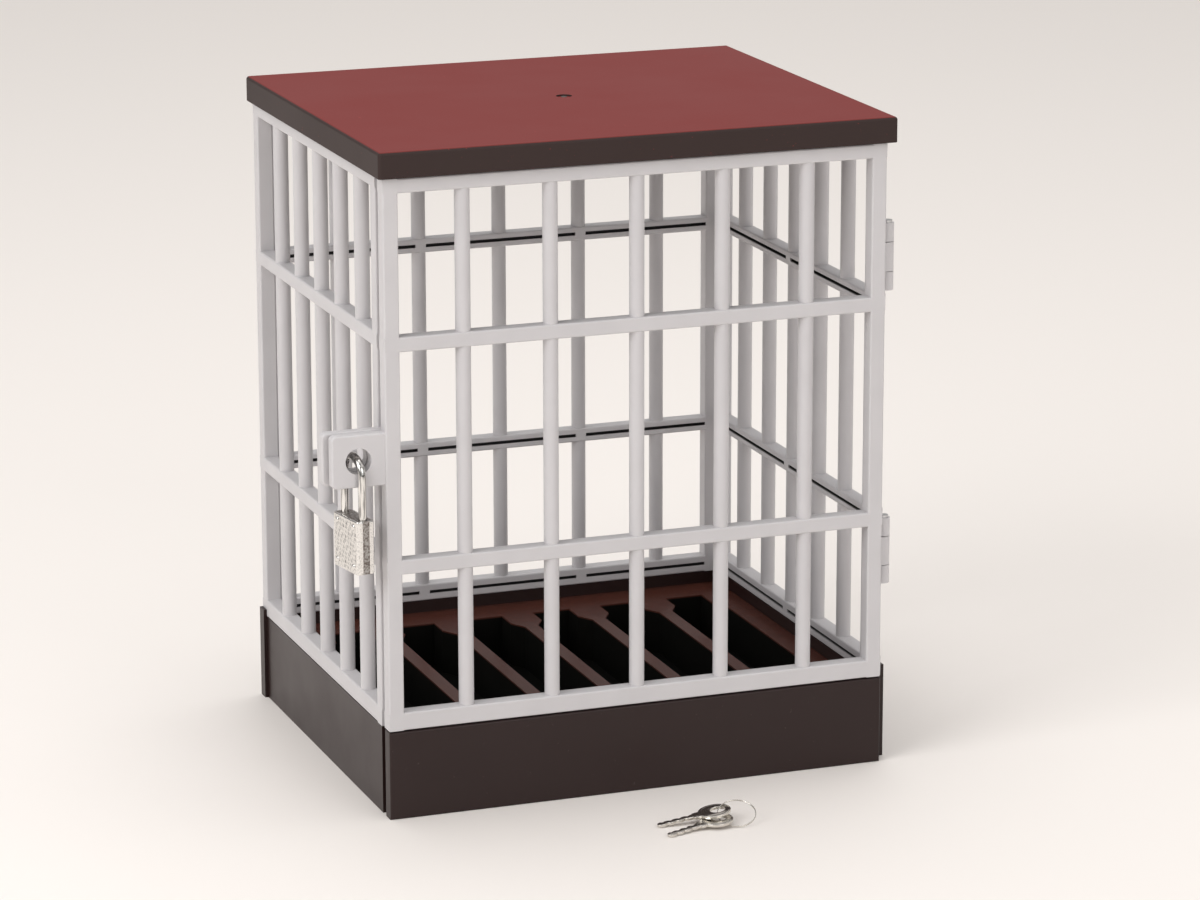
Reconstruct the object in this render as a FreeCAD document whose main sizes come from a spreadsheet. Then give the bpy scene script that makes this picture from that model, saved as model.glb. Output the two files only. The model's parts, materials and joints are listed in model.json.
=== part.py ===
import FreeCAD, Part
import math
import os
import re

# Barred container for phones, locked by a small padlock.
# Row frame: +Z up, front facing -Y, origin at the middle of the base's underside.

doc = FreeCAD.newDocument("LockContainer")
sheet = doc.addObject("Spreadsheet::Sheet", "Dims")

SIZES = {
    # Base
    "base_width": 147.8,
    "base_depth": 123.0,
    "base_height": 25.0,
    "base_floor": 2.0,
    "wall": 4.6,
    "front_inset": 2.0,
    "front_wall": 2.0,
    "corner_gap": 2.4,
    "tab_rise": 2.1,
    "tab_proud": 1.0,
    "tab_length": 4.0,
    # Clips that hold the front skirt
    "clip_width": 10.0,
    "clip_height": 3.0,
    "clip_spacing": 90.0,
    "clip_level": 11.0,
    "clip_length": 3.4,
    # Slotted floor
    "rack_level": 21.5,
    "rack_skin": 2.0,
    "rack_play": 0.2,
    "slot_count": 6,
    "slot_pitch": 21.3,
    "slot_width": 17.2,
    "slot_throat": 11.6,
    "slot_length": 89.2,
    "slot_depth": 12.9,
    "slot_bottom": 1.6,
    "throat_length": 8.1,
    "flare_length": 4.9,
    # Grids
    "grid_top": 179.0,
    "stile": 4.3,
    "bar_diameter": 4.2,
    "bottom_rail": 5.0,
    "top_rail": 4.0,
    "middle_rail": 4.1,
    "lower_rail_rise": 46.6,
    "upper_rail_drop": 45.6,
    "front_bar_pitch": 24.95,
    "side_bar_pitch": 19.1,
    "side_bar_middle": 3.1,
    "groove_height": 1.0,
    "groove_depth": 2.0,
    "groove_break": 3.2,
    "rail_round": 0.5,
    "tongue_width": 14.0,
    "tongue_height": 4.0,
    "tongue_thickness": 1.6,
    "tongue_spacing": 66.0,
    "tongue_play": 0.1,
    # Door and its two hinges
    "door_gap": 0.4,
    "door_side_gap": 0.2,
    "door_back_gap": 0.3,
    "hinge_length": 19.0,
    "lower_hinge_rise": 26.8,
    "upper_hinge_drop": 42.5,
    "barrel": 3.8,
    "barrel_gap": 0.2,
    "door_barrel": 8.2,
    "hinge_pin": 1.8,
    "pin_running_play": 0.05,
    "pin_seat_play": 0.01,
    "pin_head": 2.8,
    "pin_head_height": 0.7,
    "axis_behind": 0.2,
    # Roof
    "roof_width": 149.5,
    "roof_depth": 126.4,
    "roof_height": 7.1,
    "roof_plate": 2.0,
    "roof_shift": 0.6,
    "roof_round": 0.9,
    "dimple": 4.6,
    "dimple_depth": 0.5,
    # Hasp
    "ear_width": 15.0,
    "ear_height": 14.6,
    "ear_thickness": 3.2,
    "ear_setback": 0.6,
    "ear_extra": 1.4,
    "ear_round": 1.4,
    "eye": 7.3,
    "eye_level": 102.2,
    "eye_inset": 7.5,
    # Padlock, how it hangs
    "lock_shift": 0.45,
    "lock_turn": 10.0,
    # Padlock, shackle
    "rod": 2.2,
    "leg_spacing": 10.4,
    "eye_play": 0.65,
    "shackle_reach": 11.4,
    "leg_play": 0.07,
    "leg_end_play": 0.2,
    "free_leg": 5.5,
    "held_leg": 8.1,
    "shackle_travel": 6.0,
    # Padlock, case
    "case_width": 14.4,
    "case_thickness": 5.4,
    "case_height": 14.8,
    "plate_skin": 0.6,
    "channel": 2.0,
    "channel_depth": 0.2,
    "core_width": 13.3,
    "plate_play": 0.05,
    "plate_round": 0.9,
    "rivet": 0.9,
    "rivet_head": 1.7,
    "rivet_head_height": 0.4,
    "rivet_length": 0.9,
    "rivet_side": 4.7,
    "rivet_low": 2.0,
    "rivet_drop": 1.7,
    # Padlock, works
    "plug": 3.4,
    "plug_play": 0.05,
    "plug_length": 11.7,
    "keyway_length": 6.5,
    "keyway_play": 0.1,
    "crank_throw": 1.15,
    "crank_pin": 0.9,
    "crank_play": 0.1,
    "bolt_height": 1.25,
    "bolt_width": 3.2,
    "bolt_play": 0.05,
    "bolt_side_play": 0.08,
    "bolt_cover": 0.7,
    "bolt_tail": 1.9,
    "notch_depth": 0.7,
    "nose_play": 0.1,
    "chamber_floor": 2.2,
    "spring_wire": 0.36,
    "spring_pitch": 0.72,
    "wafer_thickness": 0.5,
    "wafer_width": 1.8,
    "wafer_length": 2.7,
    "wafer_pitch": 1.7,
    "wafer_level": 1.5,
    # Keys and their ring
    "key_thickness": 0.8,
    "key_head": 9.2,
    "key_hole": 4.8,
    "key_hole_shift": 1.0,
    "blade_width": 2.2,
    "blade_reach": 17.5,
    "shoulder_width": 3.4,
    "shoulder_reach": 7.2,
    "bit_width": 1.0,
    "bit_depth": 0.55,
    "bit_pitch": 1.4,
    "ring_radius": 5.25,
    "ring_wire": 0.7,
    "ring_tilt": 24.4,
    "ring_turn": -20.2,
    "ring_x": 14.2,
    "ring_ahead": 34.5,
    "table_play": 0.02,
    # How far cutting shapes run past what they cut, and joined shapes into each other
    "overshoot": 1.0,
}

for line, (alias, value) in enumerate(SIZES.items(), start=1):
    sheet.set(f"A{line}", alias)
    sheet.set(f"B{line}", str(value))
    sheet.setAlias(f"B{line}", alias)
doc.recompute()

FUNCTIONS = {"sqrt", "sin", "cos"}
PARTS = []


def cells(text):
    """Point every word of an expression at its cell of the sheet."""
    def named(word):
        return word.group(0) if word.group(0) in FUNCTIONS else "Dims." + word.group(0)
    return re.sub(r"[a-z_]{3,}", named, str(text))


def size(alias):
    return float(sheet.get(alias))


def bind(item, **expressions):
    for name, text in expressions.items():
        item.setExpression(name, cells(text))
    return item


def move(item, x=0, y=0, z=0):
    for axis, text in zip("xyz", (x, y, z)):
        item.setExpression("Placement.Base." + axis, cells(text))
    return item


def turn(item, axis, degrees):
    item.Placement = FreeCAD.Placement(item.Placement.Base, FreeCAD.Rotation(axis, degrees))
    return item


def block(name, x, y, z):
    """A box between pairs of expressions along X, Y and Z."""
    item = doc.addObject("Part::Box", name)
    for side, (low, high) in zip(("Length", "Width", "Height"), (x, y, z)):
        item.setExpression(side, cells(f"({high}) - ({low})"))
    return move(item, x[0], y[0], z[0])


def middle(width, centre="0"):
    """Two expressions that lie half a width to each side of a centre."""
    return f"({centre}) - ({width}) / 2", f"({centre}) + ({width}) / 2"


def rod(name, diameter, length, x=0, y=0, z=0, along="z"):
    """A cylinder that starts at a point and runs along +X, -Y or +Z."""
    item = doc.addObject("Part::Cylinder", name)
    bind(item, Radius=f"({diameter}) / 2", Height=length)
    if along == "x":
        turn(item, FreeCAD.Vector(0, 1, 0), 90)
    if along == "y":
        turn(item, FreeCAD.Vector(1, 0, 0), 90)
    return move(item, x, y, z)


def soften(item, radius, wanted):
    """Round the straight edges that a test picks from their middle and direction."""
    item.recompute()
    edges = []
    for number, edge in enumerate(item.Shape.Edges, start=1):
        along = edge.tangentAt(edge.FirstParameter)
        if wanted(edge.CenterOfMass, along):
            edges.append((number, radius, radius))
    result = doc.addObject("Part::Fillet", item.Name + "_round")
    result.Base = item
    result.Edges = edges
    return result


def join(name, items):
    result = doc.addObject("Part::MultiFuse", name)
    result.Shapes = items
    return result


def cut(name, base, tools):
    result = doc.addObject("Part::Cut", name)
    result.Base = base
    result.Tool = tools[0] if len(tools) == 1 else join(name + "_tools", tools)
    return result


def keep(item, label):
    """Name a finished sub-part."""
    item.Label = label
    PARTS.append(item)
    return item


# Levels and planes that several sub-parts share, as expressions

LEFT = "-base_width / 2"
RIGHT = "base_width / 2"
FRONT = "-base_depth / 2"
BACK = "base_depth / 2"
FRONT_INNER = "-base_depth / 2 + wall"
LEFT_WALL_FRONT = "-base_depth / 2 + wall + corner_gap"
RIGHT_WALL_FRONT = "-base_depth / 2 + wall + door_back_gap"
FRONT_RIGHT = "base_width / 2 - front_inset"
ROOF_LEFT = "-roof_width / 2 - roof_shift"
ROOF_RIGHT = "roof_width / 2 - roof_shift"
AXIS_X = RIGHT
AXIS_Y = "-base_depth / 2 + wall - axis_behind"
EAR_FRONT = "-base_depth / 2 + ear_setback"
REAR_EAR_BACK = "-base_depth / 2 + wall + door_back_gap + ear_thickness"
EYE_X = "-base_width / 2 - eye_inset"
LOCK_Y = f"(({EAR_FRONT}) + ({REAR_EAR_BACK})) / 2"
LOCK_X = f"{EYE_X} - lock_shift"
# The shackle crosses both ears at a slant, so its way through them is a little longer
HALF_CROSSING = f"(({REAR_EAR_BACK}) - ({EAR_FRONT})) / 2 / cos(lock_turn)"
INNER_ARCH = "(leg_spacing - rod) / 2"
ARCH_Z = f"eye_level - eye / 2 + eye_play - sqrt(({INNER_ARCH}) ^ 2 - ({HALF_CROSSING}) ^ 2)"
LOCK_TOP = f"{ARCH_Z} - shackle_reach"
LOCK_BOTTOM = f"{LOCK_TOP} - case_height"
BOLT_TOP = "case_height - bolt_cover - 2 * bolt_play"
BOLT_BOTTOM = f"{BOLT_TOP} - bolt_height"
BOLT_DRAW = "crank_throw * sqrt(2)"
# The notch is as deep below the bolt as the shackle climbs before the bolt has left it
NOTCH_SLACK = f"shackle_travel * notch_depth / ({BOLT_DRAW}) + nose_play"


def is_along(along, axis):
    return abs(abs(getattr(along, axis)) - 1) < 1e-6


# Base


def tongue_slots(name, side, centre, level, up):
    """Pockets in a wall's edge for the two tongues of one grid."""
    slots = []
    width = "tongue_width + 2 * tongue_play"
    thickness = "tongue_thickness + 2 * tongue_play"
    depth = "tongue_height + tongue_play"
    z = (level, f"{level} + {depth}") if up else (f"{level} - ({depth})", level)
    for number, sign in enumerate((-1, 1)):
        place = middle(width, f"{centre[0]} + {sign} * tongue_spacing / 2")
        across = middle(thickness, centre[1])
        x, y = (place, across) if side == "x" else (across, place)
        slots.append(block(f"{name}_{number}", x, y, z))
    return slots


def all_tongue_slots(name, level, up):
    slots = tongue_slots(name + "_back", "x", ("0", "base_depth / 2 - wall / 2"), level, up)
    slots += tongue_slots(name + "_left", "y", ("side_bar_middle", f"{LEFT} + wall / 2"), level, up)
    slots += tongue_slots(name + "_right", "y", ("side_bar_middle", f"{RIGHT} - wall / 2"), level, up)
    return slots


def base_shell():
    inner_left = f"{LEFT} + wall"
    inner_right = f"{RIGHT} - wall"
    height = ("0", "base_height")
    solids = [
        block("floor_plate", (inner_left, inner_right), (FRONT_INNER, f"{BACK} - wall"),
              ("0", "base_floor")),
        block("left_wall", (LEFT, inner_left), (LEFT_WALL_FRONT, BACK), height),
        block("right_wall", (inner_right, RIGHT), (RIGHT_WALL_FRONT, BACK), height),
        block("back_wall", (LEFT, RIGHT), (f"{BACK} - wall", BACK), height),
        block("front_wall", (inner_left, inner_right), (FRONT_INNER, f"{FRONT_INNER} + front_wall"),
              ("0", "base_height - door_gap")),
        block("right_tab", (f"{RIGHT} - rail_round", f"{RIGHT} + tab_proud"),
              (RIGHT_WALL_FRONT, f"{RIGHT_WALL_FRONT} + tab_length"), ("0", "base_height")),
        block("right_tab_top", (RIGHT, f"{RIGHT} + tab_proud"),
              (RIGHT_WALL_FRONT, f"{RIGHT_WALL_FRONT} + tab_length"), ("0", "base_height + tab_rise")),
        block("left_tab", (f"{LEFT} - tab_proud", f"{LEFT} + rail_round"),
              (f"{BACK} - tab_length", BACK), ("0", "base_height")),
        block("left_tab_top", (f"{LEFT} - tab_proud", LEFT),
              (f"{BACK} - tab_length", BACK), ("0", "base_height + tab_rise")),
    ]
    windows = []
    for number, sign in enumerate((-1, 1)):
        windows.append(block(
            f"clip_window_{number}",
            middle("clip_width + 2 * tongue_play", f"{sign} * clip_spacing / 2"),
            (f"{FRONT_INNER} - overshoot", f"{FRONT_INNER} + front_wall + overshoot"),
            middle("clip_height + 2 * tongue_play", "clip_level")))
    shell = cut("BaseShell", join("base_walls", solids),
                windows + all_tongue_slots("base_slot", "base_height", False))
    return keep(shell, "base_shell")


def front_skirt():
    plate = block("skirt_plate", (LEFT, FRONT_RIGHT), (FRONT, FRONT_INNER), ("0", "base_height"))
    front = -size("base_depth") / 2
    plate = soften(plate, size("rail_round"), lambda point, along:
                   is_along(along, "z") or (is_along(along, "x") and point.y < front + 1e-6))
    solids = [plate]
    for number, sign in enumerate((-1, 1)):
        place = f"{sign} * clip_spacing / 2"
        solids.append(block(
            f"clip_{number}", middle("clip_width", place),
            (f"{FRONT_INNER} - overshoot", f"{FRONT_INNER} + clip_length"),
            middle("clip_height", "clip_level")))
    return keep(join("FrontSkirt", solids), "front_skirt")


def phone_rack():
    """A drop-in floor: a plate with a skirt that stands on the base, and six closed slots."""
    x = (f"{LEFT} + wall + rack_play", f"{RIGHT} - wall - rack_play")
    y = (f"{FRONT_INNER} + front_wall + clip_length", f"{BACK} - wall - rack_play")
    inner_x = (f"{x[0]} + rack_skin", f"{x[1]} - rack_skin")
    inner_y = (f"{y[0]} + rack_skin", f"{y[1]} - rack_skin")
    body = block("rack_body", x, y, ("base_floor", "rack_level"))
    hollow = block("rack_hollow", inner_x, inner_y, ("base_floor", "rack_level - rack_skin"))
    bank_width = "slot_count * slot_pitch"
    bank_low = "rack_level - slot_depth - slot_bottom"
    bank = block("slot_bank", middle(bank_width), middle("slot_length + 2 * slot_bottom"),
                 (bank_low, "rack_level"))
    half = "slot_length / 2"
    wide_end = f"{half} - throat_length - flare_length"
    tools = []
    for number in range(int(size("slot_count"))):
        centre = f"({number} - (slot_count - 1) / 2) * slot_pitch"
        z = ("rack_level - slot_depth", "rack_level + overshoot")
        tools.append(block(f"slot_{number}", middle("slot_width", centre), (f"-{half}", wide_end), z))
        tools.append(block(f"throat_{number}", middle("slot_throat", centre),
                           (f"{half} - throat_length", half), z))
        flare = doc.addObject("Part::Wedge", f"flare_{number}")
        bind(flare, Xmin="-slot_width / 2", Xmax="slot_width / 2", Ymin="0", Ymax="flare_length",
             Zmin="0", Zmax="slot_depth + overshoot", X2min="-slot_throat / 2", X2max="slot_throat / 2",
             Z2min="0", Z2max="slot_depth + overshoot")
        tools.append(move(flare, centre, wide_end, z[0]))
    shell = cut("rack_shell", body, [hollow])
    lip = block("rack_lip", x, (f"{FRONT_INNER} + front_wall + rack_play", inner_y[0]),
                ("rack_level - rack_skin", "rack_level"))
    return keep(cut("PhoneRack", join("rack_with_bank", [shell, bank, lip]), tools), "phone_rack")


# Grids, each built facing -Y with its outer face on Y = 0 and then turned to its place


def groove_cuts(name, ends, breaks, level):
    """The narrow groove along a rail's inner face, broken at some of the bars."""
    stops = [f"{ends[0]} + stile"]
    for place in breaks:
        stops += [f"{place} - groove_break / 2", f"{place} + groove_break / 2"]
    stops.append(f"{ends[1]} - stile")
    cuts = []
    for number in range(0, len(stops), 2):
        cuts.append(block(f"{name}_{number}", (stops[number], stops[number + 1]),
                          ("wall - groove_depth", "wall + overshoot"), middle("groove_height", level)))
    return cuts


def grid(name, ends, low, high, pitch, centre, broken):
    """Stiles, rails and round bars in one moulding."""
    round_radius = size("rail_round")
    depth = ("0", "wall")
    rails = {
        "bottom": (low, f"{low} + bottom_rail"),
        "lower": middle("middle_rail", "base_height + lower_rail_rise"),
        "upper": middle("middle_rail", "grid_top - upper_rail_drop"),
        "top": (f"{high} - top_rail", high),
    }
    solids = []
    for rail, z in rails.items():
        item = block(f"{name}_{rail}_rail", ends, depth, z)
        solids.append(soften(item, round_radius, lambda point, along: is_along(along, "x")))
    for side, x in (("a", (ends[0], f"{ends[0]} + stile")), ("b", (f"{ends[1]} - stile", ends[1]))):
        item = block(f"{name}_stile_{side}", x, depth, (low, high))
        solids.append(soften(item, round_radius, lambda point, along: is_along(along, "z")))
    for number in range(-2, 3):
        solids.append(rod(f"{name}_bar_{number + 2}", "bar_diameter", f"({high}) - ({low}) - top_rail",
                          f"{centre} + {number} * {pitch}", "wall / 2", f"{low} + top_rail / 2"))
    frame = join(f"{name}_frame", solids)
    breaks = [f"{centre} + {number} * {pitch}" for number in broken]
    tools = []
    for rail, z in rails.items():
        tools += groove_cuts(f"{name}_{rail}_groove", ends, breaks, f"(({z[0]}) + ({z[1]})) / 2")
    return cut(f"{name}_grid", frame, tools)


def tongues(name, centre, low, high):
    """The four tongues that hold a fixed grid in the base and the roof."""
    solids = []
    for row, (z_low, z_high) in enumerate(((f"{low} - tongue_height", f"{low} + overshoot"),
                                           (f"{high} - overshoot", f"{high} + tongue_height"))):
        for number, sign in enumerate((-1, 1)):
            solids.append(block(
                f"{name}_tongue_{row}{number}",
                middle("tongue_width", f"{centre} + {sign} * tongue_spacing / 2"),
                middle("tongue_thickness", "wall / 2"), (z_low, z_high)))
    return solids


def fixed_grid(name, ends, pitch, centre, broken, x, y, degrees):
    """A grid with its tongues, turned about Z and moved to its side of the base."""
    panel = grid(name, ends, "base_height", "grid_top", pitch, centre, broken)
    whole = join(f"{name}_whole", [panel] + tongues(name, centre, "base_height", "grid_top"))
    turn(whole, FreeCAD.Vector(0, 0, 1), degrees)
    return move(whole, x, y)


def ear(name, x_low, y, root):
    """A hasp ear: a square plate with rounded outer corners and an eye through it."""
    plate = block(f"{name}_plate", (x_low, root), y, middle("ear_height", "eye_level"))
    plate.recompute()
    outer = plate.Shape.BoundBox.XMin + 1e-6
    plate = soften(plate, size("ear_round"), lambda point, along:
                   is_along(along, "y") and point.x < outer)
    plate.recompute()
    low, high = plate.Shape.BoundBox.YMin, plate.Shape.BoundBox.YMax
    rim_x = plate.Shape.BoundBox.XMax - 1e-3
    edge = size("rail_round")
    return soften(plate, edge, lambda point, along:
                  point.x < rim_x and (abs(point.y - low) < 1e-6 or abs(point.y - high) < 1e-6))


def eye_hole(name, y_high, length):
    return rod(name, "eye", length, EYE_X, y_high, "eye_level", along="y")


def back_panel():
    ends = (f"{LEFT} + wall", f"{RIGHT} - wall")
    panel = fixed_grid("back", ends, "front_bar_pitch", "0", (-1, 1), "0", BACK, 180)
    return keep(panel, "back_panel")


def left_panel():
    ends = (FRONT, "base_depth / 2 - wall - corner_gap")
    panel = fixed_grid("left", ends, "side_bar_pitch", "-side_bar_middle", (0,), LEFT, "0", -90)
    y = (RIGHT_WALL_FRONT, REAR_EAR_BACK)
    plate = ear("rear_ear", f"{LEFT} - ear_width - ear_extra", y, f"{LEFT} + stile")
    with_ear = join("left_with_ear", [panel, plate])
    hole = eye_hole("rear_eye", f"{REAR_EAR_BACK} + overshoot", "ear_thickness + 2 * overshoot")
    return keep(cut("LeftPanel", with_ear, [hole]), "left_panel")


def barrel_spans(level):
    """Along one hinge: lower fixed barrel, door barrel, upper fixed barrel."""
    end = "(hinge_length - door_barrel) / 2"
    return (
        (level, f"{level} + {end} - barrel_gap"),
        (f"{level} + {end}", f"{level} + {end} + door_barrel"),
        (f"{level} + {end} + door_barrel + barrel_gap", f"{level} + hinge_length"),
    )


def hinge_levels():
    return (("lower", "base_height + lower_hinge_rise"), ("upper", "grid_top - upper_hinge_drop"))


def barrel(name, span, diameter="barrel", extra="0"):
    low, high = span
    return rod(name, diameter, f"({high}) - ({low}) + 2 * {extra}", AXIS_X, AXIS_Y, f"{low} - {extra}")


def right_panel():
    ends = ("-base_depth / 2 + wall + door_back_gap", "base_depth / 2")
    panel = fixed_grid("right", ends, "side_bar_pitch", "side_bar_middle", (0,), RIGHT, "0", 90)
    barrels = []
    tools = []
    for name, level in hinge_levels():
        spans = barrel_spans(level)
        barrels += [barrel(f"{name}_fixed_barrel_{number}", spans[number]) for number in (0, 2)]
        tools.append(barrel(f"{name}_door_barrel_room", spans[1],
                            "barrel + 4 * barrel_gap", "barrel_gap"))
        tools.append(barrel(f"{name}_fixed_bore", (level, f"{level} + hinge_length"),
                            "hinge_pin + 2 * pin_seat_play", "overshoot"))
        pin_top = f"{level} + hinge_length"
        tools.append(barrel(f"{name}_head_room", (pin_top, f"{pin_top} + pin_head_height + barrel_gap"),
                            "pin_head + 2 * barrel_gap"))
    return keep(cut("RightPanel", join("right_with_barrels", [panel] + barrels), tools), "right_panel")


def door_panel():
    ends = (LEFT, f"{FRONT_RIGHT} - door_side_gap")
    middle_x = f"(({ends[0]}) + ({ends[1]})) / 2"
    panel = grid("door", ends, "base_height + door_gap", "grid_top - door_gap",
                 "front_bar_pitch", middle_x, (-1, 1))
    move(panel, "0", FRONT, "0")
    y = (EAR_FRONT, f"{EAR_FRONT} + ear_thickness")
    solids = [panel, ear("front_ear", f"{LEFT} - ear_width", y, f"{LEFT} + stile")]
    tools = [eye_hole("front_eye", f"{EAR_FRONT} + ear_thickness + overshoot",
                      "ear_thickness + 2 * overshoot")]
    for name, level in hinge_levels():
        span = barrel_spans(level)[1]
        solids.append(barrel(f"{name}_door_barrel", span))
        solids.append(block(f"{name}_hinge_arm", (f"{ends[1]} - overshoot", AXIS_X),
                            (f"{AXIS_Y} - barrel / 2", f"{AXIS_Y} - pin_running_play"), span))
        tools.append(barrel(f"{name}_running_bore", span, "hinge_pin + 2 * pin_running_play",
                            "overshoot"))
    return keep(cut("DoorPanel", join("door_with_ear", solids), tools), "door_panel")


def hinge_pins():
    for name, level in hinge_levels():
        shaft = rod(f"{name}_shaft", "hinge_pin", "hinge_length", AXIS_X, AXIS_Y, level)
        head = rod(f"{name}_head", "pin_head", "pin_head_height",
                   AXIS_X, AXIS_Y, f"{level} + hinge_length")
        keep(join(f"{name}_pin", [shaft, head]), f"{name}_hinge_pin")


# Roof


def roof_cap():
    top = "grid_top + roof_height"
    cap = block("roof_block", (ROOF_LEFT, ROOF_RIGHT), middle("roof_depth"), ("grid_top", top))
    cap.recompute()
    crown = cap.Shape.BoundBox.ZMax - 1e-6
    cap = soften(cap, size("roof_round"), lambda point, along: is_along(along, "z") or point.z > crown)
    recess = block("roof_recess", (f"{LEFT} + wall", f"{RIGHT} - wall"),
                   (FRONT_INNER, f"{BACK} - wall"), ("grid_top - overshoot", f"{top} - roof_plate"))
    dimple = rod("roof_dimple", "dimple", "dimple_depth + overshoot",
                 "-roof_shift", "0", f"{top} - dimple_depth")
    tools = [recess, dimple] + all_tongue_slots("roof_slot", "grid_top", True)
    return keep(cut("RoofCap", cap, tools), "roof_cap")


# Padlock, built about the middle of its case's underside, then turned and moved to the hasp


def to_lock(item):
    turn(item, FreeCAD.Vector(0, 0, 1), size("lock_turn"))
    return move(item, LOCK_X, LOCK_Y, LOCK_BOTTOM)


def shackle():
    arch_z = "case_height + shackle_reach"
    arch = doc.addObject("Part::Torus", "shackle_arch")
    bind(arch, Radius1="leg_spacing / 2", Radius2="rod / 2")
    arch.Angle3 = 180
    turn(arch, FreeCAD.Vector(1, 1, 1), 120)
    move(arch, "0", "0", arch_z)
    free = rod("free_leg", "rod", "shackle_reach + free_leg", "0", "-leg_spacing / 2",
               "case_height - free_leg")
    held = rod("held_leg", "rod", "shackle_reach + held_leg", "0", "leg_spacing / 2",
               "case_height - held_leg")
    inner_side = "-leg_spacing / 2 + rod / 2"
    notch = block("bolt_notch", ("-rod", "rod"),
                  (f"{inner_side} - notch_depth", f"{inner_side} + overshoot"),
                  (f"{BOLT_BOTTOM} - ({NOTCH_SLACK})", f"{BOLT_TOP} + bolt_play"))
    return keep(to_lock(cut("Shackle", join("shackle_rod", [arch, free, held]), [notch])),
                "padlock_shackle")


def rivet_places():
    """A tag, a side of the case, and a place along Y and Z for each of its eight short rivets."""
    for tag_side, side in enumerate((-1, 1)):
        for row, z in enumerate(("rivet_low", "case_height - rivet_drop")):
            for column, sign in enumerate((-1, 1)):
                yield f"{tag_side}{row}{column}", side, f"{sign} * rivet_side", z


def from_face(side, depth, proud):
    """Where a rod along +X starts, so that it runs from proud of a broad face to a depth in it."""
    return f"-case_thickness / 2 - {proud}" if side < 0 else f"case_thickness / 2 - ({depth})"


def rivet_holes(name):
    depth = "rivet_length + pin_seat_play"
    return [rod(f"{name}_{tag}", "rivet + 2 * pin_seat_play", f"{depth} + overshoot",
                from_face(side, depth, "overshoot"), y, z, along="x")
            for tag, side, y, z in rivet_places()]


def lock_core():
    height = ("0", "case_height")
    body = block("core_block", middle("case_thickness - 2 * plate_skin"), middle("core_width"), height)
    web = block("core_web", middle("channel"), middle("case_width - 2 * channel_depth"), height)
    bore = "rod + 2 * leg_play"
    channel_low = f"{BOLT_BOTTOM} - bolt_play"
    tools = [
        rod("free_bore", bore, "free_leg + leg_end_play + overshoot", "0", "-leg_spacing / 2",
            "case_height - free_leg - leg_end_play"),
        rod("held_bore", bore, "case_height - chamber_floor + overshoot",
            "0", "leg_spacing / 2", "chamber_floor"),
        rod("plug_bore", "plug + 2 * plug_play", f"{channel_low} + overshoot", "0", "0", "-overshoot"),
        block("bolt_channel", middle("bolt_width + 2 * bolt_side_play"),
              ("-leg_spacing / 2", f"bolt_tail + {BOLT_DRAW} + 2 * bolt_play"),
              (channel_low, "case_height - bolt_cover")),
    ]
    solid = join("core_solid", [body, web])
    return keep(to_lock(cut("LockCore", solid, tools + rivet_holes("core_rivet"))), "padlock_core")


def lock_plate(label, sign):
    """One broad face of the case, with flanges that wrap round its narrow sides."""
    outer = f"{sign} * case_thickness / 2"
    inner = f"{sign} * channel / 2"
    floor = f"{sign} * (case_thickness / 2 - plate_skin)"
    x = (outer, inner) if sign < 0 else (inner, outer)
    cavity_x = (floor, f"{inner} + overshoot") if sign < 0 else (f"{inner} - overshoot", floor)
    plate = block(f"{label}_plate", x, middle("case_width"), ("0", "case_height"))
    face = sign * size("case_thickness") / 2
    plate = soften(plate, size("plate_round"), lambda point, along:
                   abs(point.x - face) < 1e-6 and is_along(along, "z"))
    cavity = block(f"{label}_cavity", cavity_x, middle("core_width + 2 * plate_play"),
                   ("-overshoot", "case_height + overshoot"))
    return keep(to_lock(cut(f"{label}_cut", plate, [cavity] + rivet_holes(f"{label}_rivet"))), label)


def lock_rivets():
    solids = []
    for tag, side, y, z in rivet_places():
        shank_x = from_face(side, "rivet_length", "0")
        head_x = from_face(side, "0", "rivet_head_height")
        solids.append(join(f"rivet_{tag}", [
            rod(f"rivet_shank_{tag}", "rivet", "rivet_length", shank_x, y, z, along="x"),
            rod(f"rivet_head_{tag}", "rivet_head", "rivet_head_height", head_x, y, z, along="x"),
        ]))
    group = doc.addObject("Part::Compound", "LockRivets")
    group.Links = solids
    return keep(to_lock(group), "padlock_rivets")


def crank_x():
    return "crank_throw / sqrt(2)"


def lock_plug():
    barrel_solid = rod("plug_barrel", "plug", "plug_length")
    crank = rod("plug_crank", "crank_pin", f"{BOLT_TOP} - plug_length + overshoot", crank_x(),
                f"-{crank_x()}", "plug_length - overshoot")
    keyway = block("keyway", middle("key_thickness + 2 * keyway_play"),
                   middle("blade_width + 2 * keyway_play"), ("-overshoot", "keyway_length"))
    tools = [keyway]
    for number in range(3):
        z = f"wafer_level + {number} * wafer_pitch"
        tools.append(block(f"wafer_slot_{number}", middle("wafer_width + 2 * plug_play"),
                           middle("wafer_length + 2 * plug_play"),
                           middle("wafer_thickness + 2 * plug_play", z)))
    return keep(to_lock(cut("LockPlug", join("plug_solid", [barrel_solid, crank]), tools)), "padlock_plug")


def plug_wafers():
    """Three thin plates across the keyway, each with a window for the blade."""
    wafers = []
    for number in range(3):
        z = f"wafer_level + {number} * wafer_pitch"
        plate = block(f"wafer_plate_{number}", middle("wafer_width"), middle("wafer_length"),
                      middle("wafer_thickness", z))
        window = block(f"wafer_window_{number}", middle("key_thickness + 2 * keyway_play"),
                       middle("wafer_length - 2 * wafer_thickness"), middle("2 * wafer_thickness", z))
        wafers.append(cut(f"wafer_{number}", plate, [window]))
    group = doc.addObject("Part::Compound", "PlugWafers")
    group.Links = wafers
    return keep(to_lock(group), "plug_wafers")


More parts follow.
